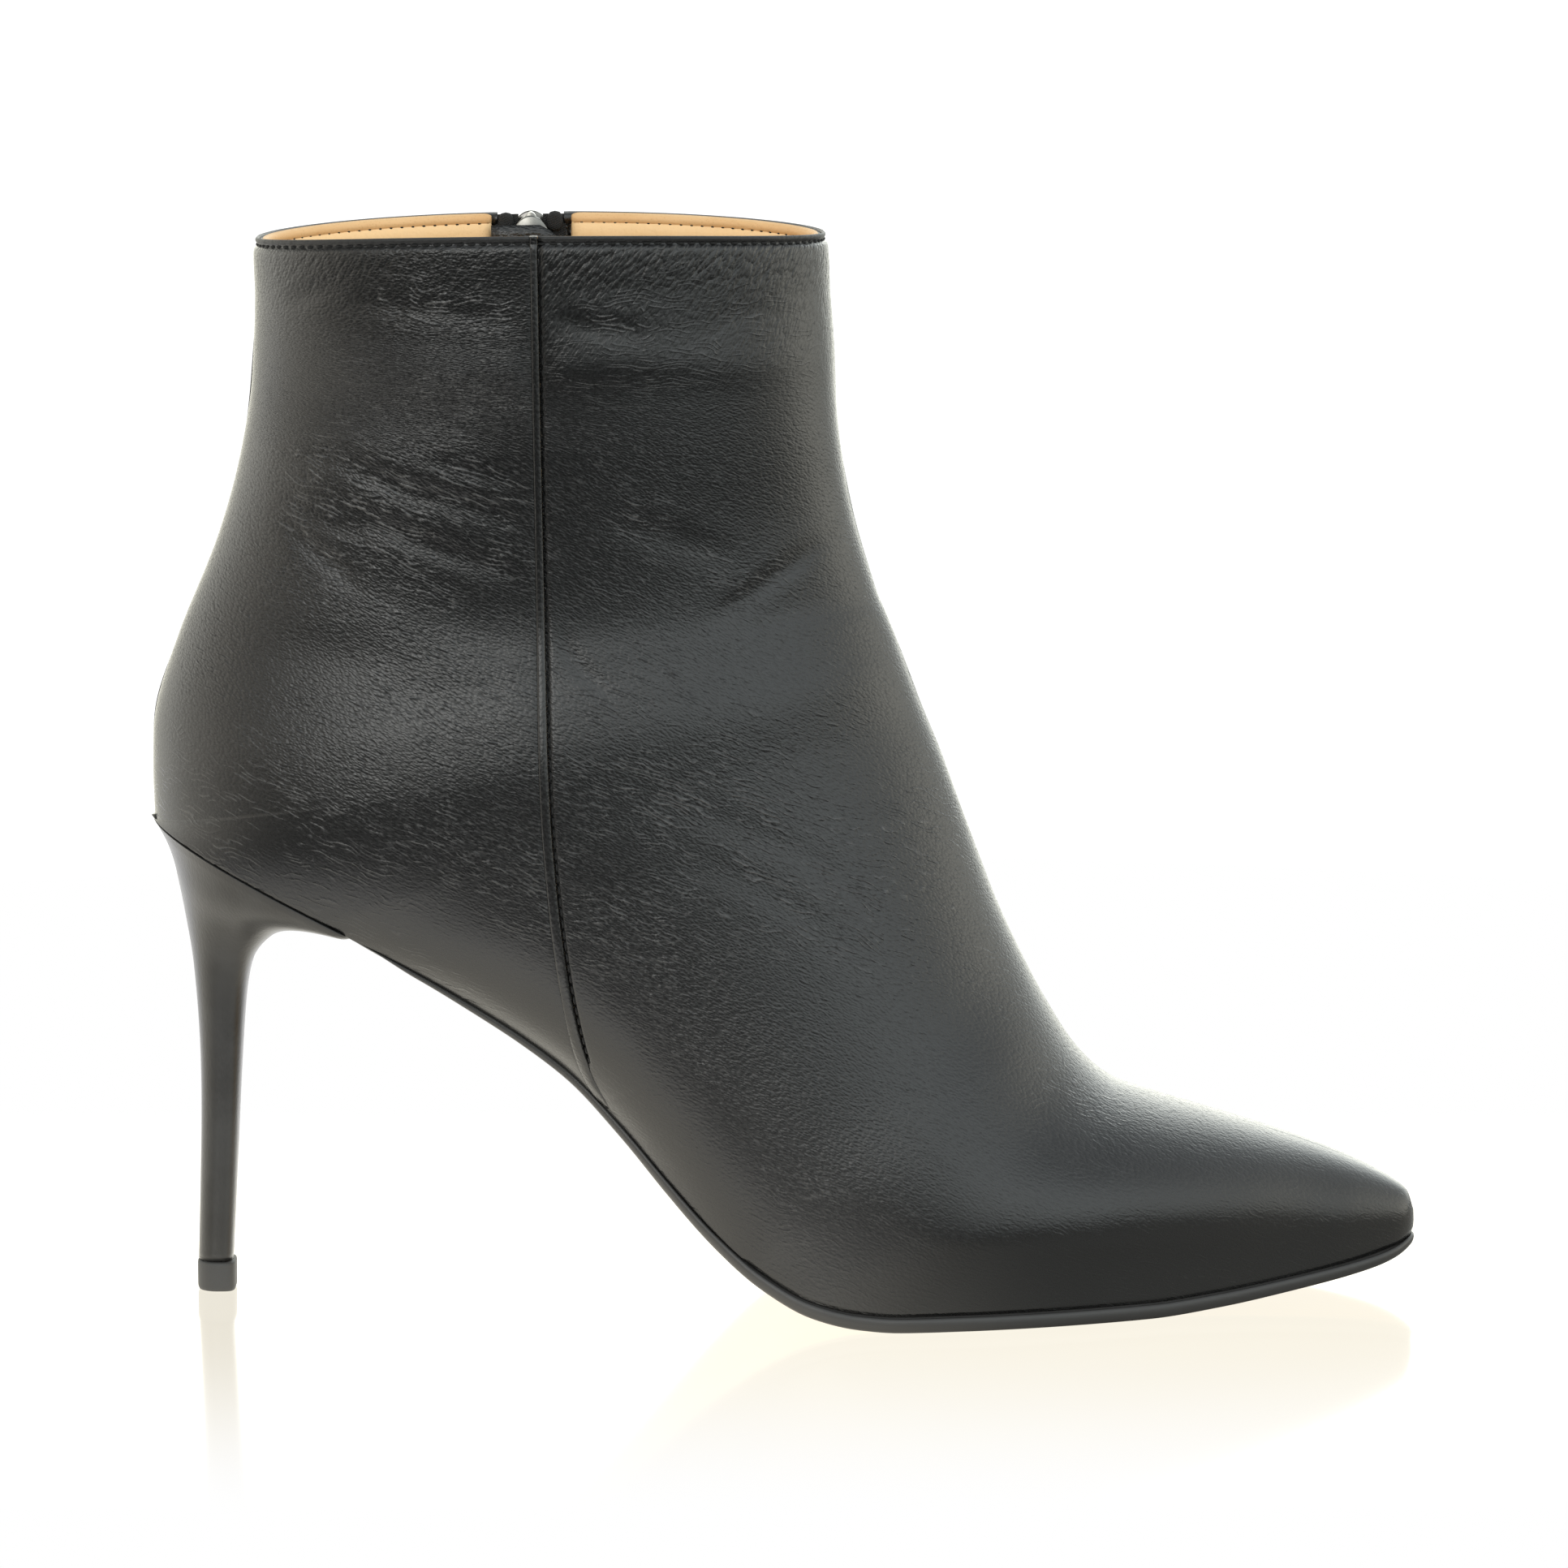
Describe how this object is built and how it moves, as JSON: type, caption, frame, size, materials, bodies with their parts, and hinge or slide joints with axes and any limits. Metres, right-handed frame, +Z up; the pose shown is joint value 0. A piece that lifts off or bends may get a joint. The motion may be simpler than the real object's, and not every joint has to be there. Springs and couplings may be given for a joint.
{
  "type": "heeled ankle boot",
  "caption": "Ankle boot with a pointed toe, slim high heel, thin sole, raised side seam and an inner side zip; hollow and open at the collar.",
  "frame": {"origin": "on the floor, at the middle of the boot's length and width", "axes": "+X to the toe, +Y to the inner side with the zip, +Z up"},
  "size_m": [0.2342, 0.0787, 0.1987],
  "materials": {
    "upper_leather": "black satin leather with fine grain",
    "sole_leather": "black edge, tan underside",
    "heel_leather": "black leather cover, satin",
    "top_piece_rubber": "matt",
    "insole_sock": "tan lining leather",
    "zip_tape": "woven, matt",
    "zip_teeth": "black",
    "zip_metal": "dark, glossy"
  },
  "bodies": {
    "boot": {"upper": "upper_leather", "outsole": "sole_leather", "heel": "heel_leather", "heel_top_piece": "top_piece_rubber", "insole": "insole_sock", "zip_tape_heel_side": "zip_tape", "zip_tape_toe_side": "zip_tape", "zip_chain": "zip_teeth", "zip_bottom_stop": "zip_metal", "zip_slider": "zip_metal"},
    "pull_tab": {"zip_pull_tab": "zip_metal"}
  },
  "joints": [
    {"name": "pull_tab_swing", "type": "hinge", "parent": "boot", "child": "pull_tab", "pos_m": [-0.04792, 0.0329, 0.1922], "axis": [1, 0, 0], "range_deg": [0, 160]}
  ]
}
